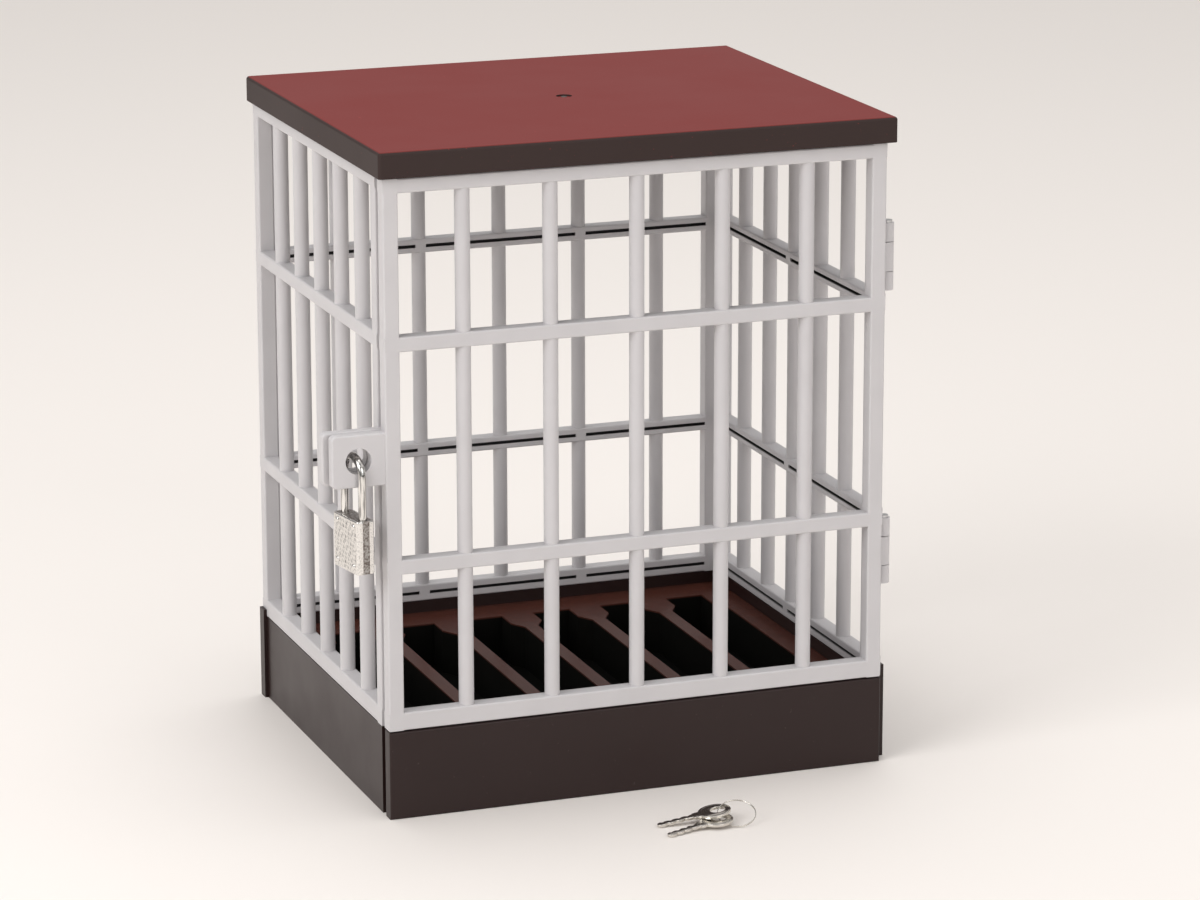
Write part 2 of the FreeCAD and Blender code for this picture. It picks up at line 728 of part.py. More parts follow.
def lock_bolt():
    nose = "-leg_spacing / 2 + rod / 2 - notch_depth + nose_play"
    body = block("bolt_body", middle("bolt_width"), (nose, "bolt_tail"), (BOLT_BOTTOM, BOLT_TOP))
    fork = block("bolt_fork", (f"{crank_x()} - crank_pin / 2 - crank_play", "bolt_width"),
                 middle("crank_pin + 2 * crank_play", f"-{crank_x()}"), ("0", "case_height"))
    return keep(to_lock(cut("LockBolt", body, [fork])), "padlock_bolt")


def shackle_spring():
    """A wire coil between the chamber's floor and the end of the held leg."""
    wire = size("spring_wire")
    pitch = size("spring_pitch")
    coil_radius = size("rod") / 2 - wire
    room = size("case_height") - size("held_leg") - size("chamber_floor")
    turns = math.floor((room - 2 * wire) / pitch)
    helix = Part.makeHelix(pitch, turns * pitch, coil_radius)
    circle = Part.Circle(FreeCAD.Vector(coil_radius, 0, 0), FreeCAD.Vector(0, 1, 0), wire / 2)
    section = Part.Wire(circle.toShape())
    coil = Part.Wire(helix.Edges).makePipeShell([section], True, True)
    item = doc.addObject("Part::Feature", "ShackleSpring")
    item.Shape = coil
    foot = (room - turns * pitch) / 2
    return keep(move(item, f"{LOCK_X} - sin(lock_turn) * leg_spacing / 2",
                     f"{LOCK_Y} + cos(lock_turn) * leg_spacing / 2",
                     f"{LOCK_BOTTOM} + chamber_floor + {foot}"), "shackle_spring")


# Keys, built about the hole in the head with the blade along -X, and laid on the table


def key(name):
    head = rod(f"{name}_head", "key_head", "key_thickness", "-key_hole_shift", "0", "-key_thickness / 2")
    z = ("-key_thickness / 2", "key_thickness / 2")
    tip = "-blade_reach + blade_width / 2"
    blade = block(f"{name}_blade", (tip, "-key_head / 2"), middle("blade_width"), z)
    point = rod(f"{name}_point", "blade_width", "key_thickness", tip, "0", "-key_thickness / 2")
    shoulder = block(f"{name}_shoulder", ("-shoulder_reach", "-key_head / 2"), middle("shoulder_width"), z)
    tools = [rod(f"{name}_hole", "key_hole", "2 * key_thickness", "0", "0", "-key_thickness")]
    for number in range(4):
        side = 1 if number % 2 else -1
        x = f"-blade_reach + blade_width + bit_width + {number} * bit_pitch"
        edge = f"{side} * blade_width / 2"
        tools.append(block(f"{name}_bit_{number}", middle("bit_width", x),
                           middle("2 * bit_depth", edge), ("-key_thickness", "key_thickness")))
    return cut(name, join(f"{name}_solid", [head, blade, point, shoulder]), tools)


def ring_frame():
    """The ring's centre, its level axis and its sloping axis, from the sheet."""
    turned = math.radians(size("ring_turn"))
    tilt = math.radians(size("ring_tilt"))
    level = FreeCAD.Vector(math.cos(turned), math.sin(turned), 0)
    away = FreeCAD.Vector(-math.sin(turned), math.cos(turned), 0)
    slope = away * math.cos(tilt) + FreeCAD.Vector(0, 0, math.sin(tilt))
    height = size("ring_wire") / 2 + size("ring_radius") * math.sin(tilt) + size("table_play")
    centre = FreeCAD.Vector(size("ring_x"), -size("base_depth") / 2 - size("ring_ahead"), height)
    return centre, level, slope


def lay_key(name, label, round_ring, heading):
    """Hang a key on the ring and let its tip down to the table."""
    centre, level, slope = ring_frame()
    angle = math.radians(round_ring)
    radius = size("ring_radius")
    hole = centre - level * (radius * math.cos(angle)) - slope * (radius * math.sin(angle))
    drop = hole.z - size("key_thickness") / 2 - size("table_play")
    dip = math.degrees(math.asin(drop / size("blade_reach")))
    heading_turn = FreeCAD.Rotation(FreeCAD.Vector(0, 0, 1), heading)
    dip_turn = FreeCAD.Rotation(FreeCAD.Vector(0, 1, 0), -dip)
    item = key(name)
    item.Placement = FreeCAD.Placement(hole, heading_turn.multiply(dip_turn))
    return keep(item, label)


def key_ring():
    centre, level, slope = ring_frame()
    ring = doc.addObject("Part::Torus", "KeyRing")
    bind(ring, Radius1="ring_radius", Radius2="ring_wire / 2")
    turned = FreeCAD.Rotation(FreeCAD.Vector(0, 0, 1), size("ring_turn"))
    tilted = FreeCAD.Rotation(FreeCAD.Vector(1, 0, 0), size("ring_tilt"))
    ring.Placement = FreeCAD.Placement(centre, turned.multiply(tilted))
    return keep(ring, "key_ring")


base_shell()
front_skirt()
phone_rack()
left_panel()
right_panel()
back_panel()
door_panel()
hinge_pins()
roof_cap()
shackle()
lock_core()
lock_plate("padlock_left_plate", -1)
lock_plate("padlock_right_plate", 1)
lock_rivets()
lock_plug()
plug_wafers()
lock_bolt()
shackle_spring()
lay_key("KeyBack", "key_back", -12, -3)
lay_key("KeyFront", "key_front", 25, 16)
key_ring()
doc.recompute()

for item in doc.Objects:
    if "Invalid" in item.State or "Error" in item.State:
        raise RuntimeError(f"{item.Name} failed: {item.State}")
for item in PARTS:
    if item.Shape.isNull() or not item.Shape.isValid():
        raise RuntimeError(f"{item.Label} has no valid shape")

os.makedirs("parts", exist_ok=True)
for item in PARTS:
    item.Shape.exportStep(f"parts/{item.Label}.step")
    print(item.Label, len(item.Shape.Solids), round(item.Shape.Volume, 2))
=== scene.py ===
import json
import math

import bmesh
import bpy
from bpy.props import FloatProperty, FloatVectorProperty, PointerProperty
from mathutils import Matrix, Vector, noise


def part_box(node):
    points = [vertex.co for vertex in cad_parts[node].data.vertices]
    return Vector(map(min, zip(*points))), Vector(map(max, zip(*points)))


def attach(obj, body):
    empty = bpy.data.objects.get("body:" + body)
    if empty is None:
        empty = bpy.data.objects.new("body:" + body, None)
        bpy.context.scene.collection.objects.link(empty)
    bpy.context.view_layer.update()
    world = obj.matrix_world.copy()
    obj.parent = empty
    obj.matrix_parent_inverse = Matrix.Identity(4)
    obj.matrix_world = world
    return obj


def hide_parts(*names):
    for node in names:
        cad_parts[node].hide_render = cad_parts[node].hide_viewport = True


bl_info = {
    "name": "Barred Phone Container",
    "version": (1, 0, 0),
    "blender": (4, 5, 0),
    "location": "3D View > Sidebar > Container",
    "description": "Dresses the barred phone container: plastics, padlock, keys and their studio",
    "category": "Object",
}

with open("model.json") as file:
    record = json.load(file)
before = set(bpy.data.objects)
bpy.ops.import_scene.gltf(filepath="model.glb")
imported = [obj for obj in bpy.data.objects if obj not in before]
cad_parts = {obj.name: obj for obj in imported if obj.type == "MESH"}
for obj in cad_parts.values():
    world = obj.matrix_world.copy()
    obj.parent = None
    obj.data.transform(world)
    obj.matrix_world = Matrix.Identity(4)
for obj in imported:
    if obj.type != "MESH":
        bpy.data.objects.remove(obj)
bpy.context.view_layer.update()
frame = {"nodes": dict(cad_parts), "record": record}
NODES = frame["nodes"]
SLOT_COLOURS = {entry["slot"]: entry["base_color"] for entry in frame["record"]["materials"]}
MM = 0.001


def slot_colour(slot, name, description):
    return FloatVectorProperty(name=name, description=description, subtype="COLOR", size=3,
                               min=0.0, max=1.0, default=SLOT_COLOURS[slot])


def length(name, description, millimetres):
    return FloatProperty(name=name, description=description, unit="LENGTH", subtype="DISTANCE",
                         precision=5, default=millimetres * MM)


class ContainerPlastics(bpy.types.PropertyGroup):
    """Colours and grain of the moulded parts."""
    grid_colour: slot_colour("grey_plastic", "Grid", "Light grey of the barred grids")
    grid_warmth: FloatVectorProperty(name="Grid warmth", description="Share of each colour that is kept",
                                     size=3, default=(0.945, 0.930, 0.930))
    shell_colour: slot_colour("black_plastic", "Base and roof", "Brown black of the base and the roof")
    shell_tone: FloatVectorProperty(name="Base tone", description="Colour of the base under its gloss",
                                    subtype="COLOR", size=3, min=0.0, max=1.0,
                                    default=(0.021, 0.0095, 0.0085))
    rack_tone: FloatVectorProperty(name="Floor tone", subtype="COLOR", size=3, min=0.0, max=1.0,
                                   description="Colour of the floor's ribs under the gloss",
                                   default=(0.080, 0.026, 0.018))
    # Painted reflection: the red tone laid on the roof's upward faces.
    roof_top_reflection: FloatVectorProperty(name="Roof top", description="Warm tone of the roof's broad top",
                                         subtype="COLOR", size=3, min=0.0, max=1.0,
                                         default=(0.200, 0.031, 0.028))
    grain: length("Grain", "Size of the moulded surface's fine grain", 0.35)
    mottle: length("Mottle", "Size of the slow changes of tone and gloss", 14.0)
    rail_levels: FloatVectorProperty(name="Rail levels", description="Heights of the four rails' grooves",
                                     size=4, precision=5,
                                     default=(27.5 * MM, 71.6 * MM, 133.4 * MM, 177.0 * MM))
    door_rail_levels: FloatVectorProperty(name="Door rail levels", size=4, precision=5,
                                          description="Heights of the grooves in the door's rails",
                                          default=(27.9 * MM, 71.6 * MM, 133.4 * MM, 176.6 * MM))
    groove_height: length("Groove height", "Height of the narrow groove inside a rail", 1.0)
    groove_depth: length("Groove depth", "Depth of the narrow groove inside a rail", 2.0)
    rail_depth: length("Rail depth", "Thickness of a grid, outer face to inner face", 4.6)
    tab_rise: length("Tab rise", "How far the base's corner tabs stand proud of its sides", 1.0)
    front_span: FloatVectorProperty(name="Front grooves", size=2, precision=5,
                                    description="Where the grooves of the door and the back start and end",
                                    default=(-69.4 * MM, 69.4 * MM))
    side_span: FloatVectorProperty(name="Side grooves", size=2, precision=5,
                                   description="Where the grooves of the two sides start and end",
                                   default=(-50.2 * MM, 57.2 * MM))
    rack_level: length("Slotted floor", "Height of the slotted floor's top", 21.5)
    # Painted shade: depth below the floor's top at which the slots are painted fully dark.
    slot_shade: length("Slot shade", "Depth at which the slots lie in full shade", 0.6)


class ContainerLock(bpy.types.PropertyGroup):
    """Finish of the padlock and the hinge pins."""
    chrome_colour: slot_colour("chrome_plate", "Chrome", "Bright plate of the shackle and the case")
    core_colour: slot_colour("lock_steel", "Core", "Duller steel between the two plates")
    brass_colour: slot_colour("lock_brass", "Brass", "Turned brass of the plug")
    pin_colour: slot_colour("pin_steel", "Pins", "Drawn wire of the hinge pins")
    turn: FloatProperty(name="Turn", description="Turn of the hanging padlock about the vertical",
                        subtype="ANGLE", default=math.radians(10))
    case_thickness: length("Case thickness", "Case, from one broad face to the other", 5.4)
    case_width: length("Case width", "Case, from one narrow side to the other", 14.4)
    skin: length("Plate skin", "Thickness of a case plate's broad face", 0.6)
    flange: length("Flange", "Thickness of a case plate round a narrow side", 0.5)
    channel: length("Channel", "Gap between the two plates on a narrow side", 2.0)
    corner: length("Corner", "Radius of a case plate's long edges", 0.9)
    dent_pitch: length("Dent pitch", "Spacing of the hammered dents", 1.05)
    dent_depth: length("Dent depth", "Depth of the hammered dents", 0.2)
    rivet: length("Rivet", "Diameter of a domed rivet head", 1.7)
    rivet_rise: length("Rivet rise", "Height of a domed rivet head", 0.4)
    shank: length("Shank", "Diameter of a rivet's shank", 0.9)
    rivet_length: length("Rivet length", "Depth of a rivet's shank in the case", 0.9)
    rivet_side: length("Rivet side", "Rivet to the middle of the case, across", 4.7)
    rivet_low: length("Lower rivets", "Lower rivets above the case's foot", 2.0)
    rivet_drop: length("Upper rivets", "Upper rivets below the case's top", 1.7)


class ContainerKeys(bpy.types.PropertyGroup):
    """Sizes and finish of the keys and their split ring."""
    nickel_colour: slot_colour("key_nickel", "Nickel", "Plated stampings of the keys")
    thickness: length("Thickness", "Thickness of a key", 0.8)
    head: length("Head", "Diameter of a key's round head", 9.2)
    hole: length("Hole", "Diameter of the hole in the head", 4.2)
    hole_shift: length("Hole shift", "Hole to the middle of the head", 1.0)
    blade_width: length("Blade width", "Width of the blade", 2.2)
    blade_reach: length("Blade reach", "Hole to the blade's tip", 17.5)
    shoulder_width: length("Shoulder width", "Width of the shoulder beside the head", 3.4)
    shoulder_reach: length("Shoulder reach", "Hole to the end of the shoulder", 7.2)
    bit_depth: length("Bit depth", "Depth of the cuts along the blade", 0.5)
    bit_pitch: length("Bit pitch", "Spacing of the cuts along the blade", 2.5)
    ring_radius: length("Ring radius", "Radius of the split ring at its wire's middle", 5.25)
    bevel: length("Bevel", "Width of the rounding along a key's edges", 0.12)
    rim_inset: length("Rim inset", "Head's edge to the middle of its raised rim", 0.55)
    rim_width: length("Rim width", "Width of the head's raised rim", 0.5)
    rim_rise: length("Rim rise", "Height of the head's raised rim", 0.03)
    ring_height: length("Ring height", "Height of the two stacked turns of wire", 0.46)
    ring_tilt: FloatProperty(name="Ring tilt", description="Slope of the ring from the table",
                             subtype="ANGLE", default=math.radians(24.4))
    ring_turn: FloatProperty(name="Ring turn", description="Heading of the ring's level axis",
                             subtype="ANGLE", default=math.radians(-20.2))
    table_play: length("Table play", "Height of the lowest points above the table", 0.02)


class ContainerStudio(bpy.types.PropertyGroup):
    """Camera, floor and lamps."""
    lens: FloatProperty(name="Lens", description="Focal length on a 36 mm sensor", unit="CAMERA",
                        default=138.7)
    camera_place: FloatVectorProperty(name="Camera", description="Place of the camera",
                                      subtype="TRANSLATION", default=(-0.43548, -1.20728, 0.41725))
    camera_aim: FloatVectorProperty(name="Aim", description="Point in the middle of the picture",
                                    subtype="TRANSLATION", default=(0.00798, -0.00552, 0.08373))
    camera_roll: FloatProperty(name="Roll", description="Turn of the camera about its own axis",
                               subtype="ANGLE", default=math.radians(-0.10))
    floor_colour: FloatVectorProperty(name="Floor", description="Pale floor", subtype="COLOR", size=3,
                                      min=0.0, max=1.0, default=(0.90, 0.85, 0.81))
    floor_reach: FloatProperty(name="Floor reach", description="Half the floor's side", unit="LENGTH",
                               default=6.0)
    horizon_level: FloatProperty(name="Horizon level", description="Strength of the light at eye level",
                                 default=0.30, min=0.0)
    zenith_level: FloatProperty(name="Zenith level", description="Strength of the light from above",
                                default=0.86, min=0.0)
    lamp_level: FloatProperty(name="Lamp level", description="Strength of the lamps, 1 as set up",
                              default=0.86, min=0.0)


def settings():
    return bpy.context.scene.container


class ContainerSettings(bpy.types.PropertyGroup):
    """All sizes and colours that a user would change."""
    plastics: PointerProperty(type=ContainerPlastics)
    lock: PointerProperty(type=ContainerLock)
    keys: PointerProperty(type=ContainerKeys)
    studio: PointerProperty(type=ContainerStudio)


# Shader building


class Finish:
    """A procedural material that is built step by step around one Principled shader."""

    def __init__(self, name, colour, roughness, metallic=0.0, ior=1.5):
        self.material = bpy.data.materials.new(name)
        self.material.use_nodes = True
        self.tree = self.material.node_tree
        self.shader = self.tree.nodes["Principled BSDF"]
        self.place = self.add("ShaderNodeTexCoord").outputs["Object"]
        self.colour = tuple(colour) + (1.0,)
        self.set(self.shader, "Base Color", self.colour)
        self.set(self.shader, "Roughness", roughness)
        self.set(self.shader, "Metallic", metallic)
        self.set(self.shader, "IOR", ior)
        self.normal = None

    def add(self, kind, **facts):
        node = self.tree.nodes.new(kind)
        for name, value in facts.items():
            setattr(node, name, value)
        return node

    def set(self, node, socket, value):
        if isinstance(value, bpy.types.NodeSocket):
            self.tree.links.new(value, node.inputs[socket])
        else:
            node.inputs[socket].default_value = value

    def noise(self, grain, detail=3.0, rough=0.55, stretch=None):
        """Noise whose features are about as large as the grain, in metres."""
        place = self.place
        if stretch:
            mapping = self.add("ShaderNodeMapping")
            self.set(mapping, "Vector", place)
            self.set(mapping, "Scale", stretch)
            place = mapping.outputs["Vector"]
        texture = self.add("ShaderNodeTexNoise")
        self.set(texture, "Vector", place)
        self.set(texture, "Scale", 1.0 / grain)
        self.set(texture, "Detail", detail)
        self.set(texture, "Roughness", rough)
        return texture.outputs["Fac"]

    def span(self, value, low, high, to_low, to_high):
        """A value's run from low to high, carried over to another run and held there."""
        node = self.add("ShaderNodeMapRange", clamp=True)
        self.set(node, "Value", value)
        for socket, number in zip(("From Min", "From Max", "To Min", "To Max"), (low, high, to_low, to_high)):
            self.set(node, socket, number)
        return node.outputs["Result"]

    def math(self, operation, first, second=0.0):
        node = self.add("ShaderNodeMath", operation=operation)
        self.set(node, 0, first)
        self.set(node, 1, second)
        return node.outputs[0]

    def blend(self, factor, first, second):
        node = self.add("ShaderNodeMix", data_type="RGBA")
        self.set(node, 0, factor)
        self.set(node, 6, first)
        self.set(node, 7, second)
        return node.outputs[2]

    def tint(self, factor, other):
        """Lay another colour over the present one where the factor is high."""
        present = self.shader.inputs["Base Color"]
        first = present.links[0].from_socket if present.is_linked else self.colour
        self.set(self.shader, "Base Color", self.blend(factor, first, tuple(other) + (1.0,)))

    def gloss(self, factor, low, high):
        self.set(self.shader, "Roughness", self.span(factor, 0.3, 0.7, low, high))

    def bump(self, height, strength, distance):
        node = self.add("ShaderNodeBump")
        self.set(node, "Height", height)
        self.set(node, "Strength", strength)
        self.set(node, "Distance", distance)
        if self.normal:
            self.set(node, "Normal", self.normal)
        self.normal = node.outputs["Normal"]
        self.set(self.shader, "Normal", self.normal)


def shade(colour, factor):
    return tuple(min(1.0, part * factor) for part in colour)


def dress(node, finish):
    """Give a carried-over part its finish."""
    materials = NODES[node].data.materials
    if len(materials) == 0:
        materials.append(finish.material)
    for number in range(len(materials)):
        materials[number] = finish.material


# Moulded plastics


def moulded(name, colour, roughness, mottle, grain, ior=1.45):
    """Plain moulded plastic: a slow, faint mottle of tone and gloss over a fine grain."""
    finish = Finish(name, colour, roughness, ior=ior)
    slow = finish.noise(mottle, detail=2.0)
    finish.tint(finish.span(slow, 0.35, 0.65, 0.0, 0.5), shade(colour, 0.93))
    finish.gloss(slow, roughness - 0.02, roughness + 0.03)
    finish.bump(finish.noise(grain, detail=2.0), 0.10, 0.02 * MM)
    return finish


def dust_and_sheen_specks(finish, pale, grain, share):
    """Pale specks and short hairline rubs on dark gloss: dust and scratches, and partly a painted sheen."""
    fine = finish.noise(grain, detail=4.0, rough=0.7, stretch=(1.0, 0.22, 1.0))
    # Pale specks and streaks: dust and scratches, partly a painted sheen.
    finish.tint(finish.span(fine, 0.68, 0.74, 0.0, share), pale)


def grooved_plastic(name, outward, inner_face, levels, run, ends):
    """Grid plastic whose rails' inner grooves get a painted deep shade, a near-black colour.

    The outward axis leaves the grid's outer face. The run is the axis that the rails follow between two ends.
    """
    sizes = settings().plastics
    colour = tuple(part * kept for part, kept in zip(sizes.grid_colour, sizes.grid_warmth))
    finish = moulded(name, colour, 0.42, sizes.mottle, sizes.grain)
    finish.set(finish.shader, "Subsurface Weight", 0.12)
    finish.set(finish.shader, "Subsurface Radius", (1.0, 0.95, 0.9))
    finish.set(finish.shader, "Subsurface Scale", 0.8 * MM)
    apart = finish.add("ShaderNodeSeparateXYZ")
    finish.set(apart, "Vector", finish.place)
    along = finish.add("ShaderNodeVectorMath", operation="DOT_PRODUCT")
    finish.set(along, 0, finish.place)
    finish.set(along, 1, outward)
    inside = finish.math("SUBTRACT", along.outputs["Value"], inner_face)
    entered = finish.span(inside, 0.02 * MM, 0.7 * MM, 0.0, 1.0)
    passed = finish.math("LESS_THAN", inside, sizes.groove_depth + 0.1 * MM)
    depth = finish.math("MULTIPLY", entered, passed)
    within = None
    for level in levels:
        away = finish.math("ABSOLUTE", finish.math("SUBTRACT", apart.outputs["Z"], level))
        close = finish.math("LESS_THAN", away, sizes.groove_height / 2 + 0.03 * MM)
        within = close if within is None else finish.math("ADD", within, close)
    after = finish.math("GREATER_THAN", apart.outputs[run], ends[0])
    before = finish.math("LESS_THAN", apart.outputs[run], ends[1])
    depth = finish.math("MULTIPLY", depth, finish.math("MULTIPLY", after, before))
    # Painted shade: a near-black colour laid inside the rails' grooves.
    finish.tint(finish.math("MULTIPLY", depth, within), (0.02, 0.018, 0.018))
    return finish


class OBJECT_OT_container_grids(bpy.types.Operator):
    """Give the door and the three fixed grids their light grey plastic"""
    bl_idname = "object.container_grids"
    bl_label = "Grids"

    def execute(self, context):
        sizes = settings().plastics
        sides = {
            "left_panel": ((-1, 0, 0), sizes.rail_levels, "Y", sizes.side_span),
            "right_panel": ((1, 0, 0), sizes.rail_levels, "Y", sizes.side_span),
            "back_panel": ((0, 1, 0), sizes.rail_levels, "X", sizes.front_span),
            "door_panel": ((0, -1, 0), sizes.door_rail_levels, "X", sizes.front_span),
        }
        base_low, base_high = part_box("base_shell")
        half_width = -base_low.x - sizes.tab_rise
        half_depth = base_high.y
        for node, (outward, levels, run, ends) in sides.items():
            outer_face = half_depth if outward[1] else half_width
            finish = grooved_plastic(node + "_plastic", outward, outer_face - sizes.rail_depth,
                                     levels, run, ends)
            dress(node, finish)
        return {"FINISHED"}


def roof_plastic():
    """Dark plastic whose upward faces get a painted red reflection over its own dark tone."""
    sizes = settings().plastics
    finish = moulded("roof_plastic", shade(sizes.shell_colour, 1.1), 0.30, 3 * sizes.mottle, sizes.grain,
                     ior=1.09)
    apart = finish.add("ShaderNodeSeparateXYZ")
    finish.set(apart, "Vector", finish.add("ShaderNodeTexCoord").outputs["Normal"])
    # Painted reflection: the upward faces turn red.
    finish.tint(finish.span(apart.outputs["Z"], 0.75, 0.97, 0.0, 1.0), sizes.roof_top_reflection)
    dust_and_sheen_specks(finish, shade(sizes.roof_top_reflection, 2.2), 1.1 * MM, 0.45)
    return finish


def rack_plastic():
    """Dark plastic whose slots get a painted deep shade, near black below the floor's top."""
    sizes = settings().plastics
    finish = moulded("rack_plastic", sizes.rack_tone, 0.26, sizes.mottle, sizes.grain, ior=1.18)
    apart = finish.add("ShaderNodeSeparateXYZ")
    finish.set(apart, "Vector", finish.place)
    down = finish.math("SUBTRACT", sizes.rack_level, apart.outputs["Z"])
    # Painted shade: the colour turns near black with depth below the slotted floor's top.
    finish.tint(finish.span(down, 0.1 * MM, sizes.slot_shade, 0.0, 1.0), (0.003, 0.0028, 0.002))
    finish.set(finish.shader, "Roughness", finish.span(down, 0.1 * MM, sizes.slot_shade, 0.26, 0.85))
    return finish


class OBJECT_OT_container_shells(bpy.types.Operator):
    """Give the base, its front plate, the slotted floor and the roof their dark plastic"""
    bl_idname = "object.container_shells"
    bl_label = "Base and roof"

    def execute(self, context):
        sizes = settings().plastics
        shell = moulded("shell_plastic", sizes.shell_tone, 0.36, sizes.mottle, sizes.grain, ior=1.37)
        # Pale dust specks and scratches on the base, partly a painted sheen.
        dust_and_sheen_specks(shell, shade(sizes.shell_colour, 2.2), 1.6 * MM, 0.5)
        for node in ("base_shell", "front_skirt"):
            dress(node, shell)
        dress("roof_cap", roof_plastic())
        dress("phone_rack", rack_plastic())
        return {"FINISHED"}


# Meshes


def piece(name, mesh, finish, body, smooth=True):
    """A finished mesh as a piece of the object."""
    mesh.materials.append(finish.material)
    if smooth:
        mesh.polygons.foreach_set("use_smooth", [True] * len(mesh.polygons))
    made = bpy.data.objects.new(name, mesh)
    bpy.context.scene.collection.objects.link(made)
    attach(made, body)
    return made


def sharpen(mesh, degrees):
    """Keep the edges crisp that turn by more than an angle."""
    mesh.set_sharp_from_angle(angle=math.radians(degrees))


def mesh_from(shape, name):
    mesh = bpy.data.meshes.new(name)
    shape.to_mesh(mesh)
    shape.free()
    return mesh


def skin_rows(shape, rows, closed_ring=False):
    """Faces between neighbouring rows of vertices, each row closed on itself."""
    pairs = list(zip(rows, rows[1:]))
    if closed_ring:
        pairs.append((rows[-1], rows[0]))
    for first, second in pairs:
        count = len(first)
        for number in range(count):
            after = (number + 1) % count
            shape.faces.new((first[number], first[after], second[after], second[number]))


def lathe(shape, profile, steps, to_place):
    """Turn a profile of (radius, height) points about Z. The first and last points may lie on the axis."""
    rows = []
    for radius, height in profile:
        if radius < 1e-9:
            rows.append([shape.verts.new(to_place @ Vector((0, 0, height)))])
            continue
        turn = [2 * math.pi * step / steps for step in range(steps)]
        rows.append([shape.verts.new(to_place @ Vector((radius * math.cos(a), radius * math.sin(a), height)))
                     for a in turn])
    for first, second in zip(rows, rows[1:]):
        for step in range(steps):
            after = (step + 1) % steps
            if len(first) == 1:
                shape.faces.new((first[0], second[after], second[step]))
            elif len(second) == 1:
                shape.faces.new((first[step], first[after], second[0]))
            else:
                shape.faces.new((first[step], first[after], second[after], second[step]))


def curve_mesh(name, splines, make):
    """The mesh of a curve object whose splines are lists of points. Make sets the curve up."""
    data = bpy.data.curves.new(name, "CURVE")
    for points, closed in splines:
        spline = data.splines.new("POLY")
        spline.points.add(len(points) - 1)
        for point, place in zip(spline.points, points):
            point.co = tuple(place) + (1.0,)
        spline.use_cyclic_u = closed
    make(data)
    holder = bpy.data.objects.new(name, data)
    bpy.context.scene.collection.objects.link(holder)
    mesh = bpy.data.meshes.new_from_object(holder.evaluated_get(bpy.context.evaluated_depsgraph_get()))
    bpy.data.objects.remove(holder)
    bpy.data.curves.remove(data)
    return mesh


# Roof


class OBJECT_OT_container_gate_mark(bpy.types.Operator):
    """Add the small moulding stub that stands in the roof's dimple"""
    bl_idname = "object.container_gate_mark"
    bl_label = "Gate mark"

    def execute(self, context):
        sizes = settings().plastics
        low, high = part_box("roof_cap")
        foot = Vector(((low.x + high.x) / 2, (low.y + high.y) / 2, high.z - 0.5 * MM))
        shape = bmesh.new()
        profile = [(0.0, -0.2 * MM), (0.95 * MM, -0.2 * MM), (0.9 * MM, 0.22 * MM), (0.8 * MM, 0.32 * MM),
                   (0.62 * MM, 0.36 * MM), (0.4 * MM, 0.30 * MM), (0.0, 0.27 * MM)]
        lathe(shape, profile, 32, Matrix.Translation(foot))
        bmesh.ops.recalc_face_normals(shape, faces=shape.faces)
        finish = moulded("gate_plastic", shade(sizes.shell_colour, 1.3), 0.4, 2 * MM, sizes.grain)
        mesh = mesh_from(shape, "roof_gate_mark")
        piece("roof_gate_mark", mesh, finish, "cage")
        sharpen(mesh, 50)
        return {"FINISHED"}


# Padlock


STROKE_LENGTH = 1.9  # length of a dent's cell, in pitches
STROKE_FALL = (5.5, 4.6)  # how fast a dent gets shallow across and along it
ROW_SHIFTS = (0.5, 0.13)  # start of every second row, and of each row in five
WANDER = 0.35  # sideways wander of the rows, in pitches
WANDER_SCALE = 300.0  # changes of the wander per metre
DEPTH_SCALE = 600.0  # changes of the depth per metre
FACE_STEPS = 44  # mesh steps across a broad face
HEIGHT_STEPS = 46  # mesh steps up a broad face
RIM_LEVELS = (0.0, 0.12 * MM, 0.35 * MM)  # mesh levels over the rounded ends of a plate
RIM_PULL = 0.12 * MM  # how far the ends of a plate are drawn in
MARGIN = 0.5 * MM  # plain margin round the dents
MARGIN_FADE = 0.4 * MM  # height over which the dents grow from the margin


def chrome(name, colour, roughness, scratch=0.06, painted_reflection_streaks=0.0):
    """Bright plate with a cloudy polish, fine rubs and, where asked, painted dark reflection streaks along
    its length.
    """
    finish = Finish(name, colour, roughness, metallic=1.0)
    cloud = finish.noise(2.5 * MM, detail=3.0)
    finish.tint(finish.span(cloud, 0.45, 0.75, 0.0, 0.5), shade(colour, 0.8))
    if painted_reflection_streaks:
        # Painted reflection: dark streaks along the plate's length.
        reflection_streak_noise = finish.noise(0.45 * MM, detail=2.0, stretch=(1.0, 1.0, 0.05))
        finish.tint(finish.span(reflection_streak_noise, 0.47, 0.56, 0.0, painted_reflection_streaks), shade(colour, 0.16))
    finish.gloss(cloud, roughness - 0.04, roughness + 0.08)
    rubs = finish.noise(0.5 * MM, detail=4.0, stretch=(1.0, 1.0, 0.15))
    finish.bump(rubs, scratch, 0.03 * MM)
    return finish


def hammered_chrome(name, colour):
    """Bright plate whose dents get a painted darker shade and a rougher gloss, with sparkling specks."""
    finish = Finish(name, colour, 0.17, metallic=1.0)
    dents = finish.add("ShaderNodeAttribute", attribute_name="dent").outputs["Fac"]
    speck = finish.noise(0.45 * MM, detail=3.0, rough=0.65)
    finish.tint(finish.span(speck, 0.50, 0.62, 0.0, 0.55), shade(colour, 0.45))
    # Painted shade: the dents are darkened in step with their depth.
    finish.tint(finish.span(dents, 0.10, 0.9, 0.0, 0.7), shade(colour, 0.34))
    finish.set(finish.shader, "Roughness", finish.span(dents, 0.0, 1.0, 0.15, 0.32))
    finish.bump(speck, 0.35, 0.08 * MM)
    return finish


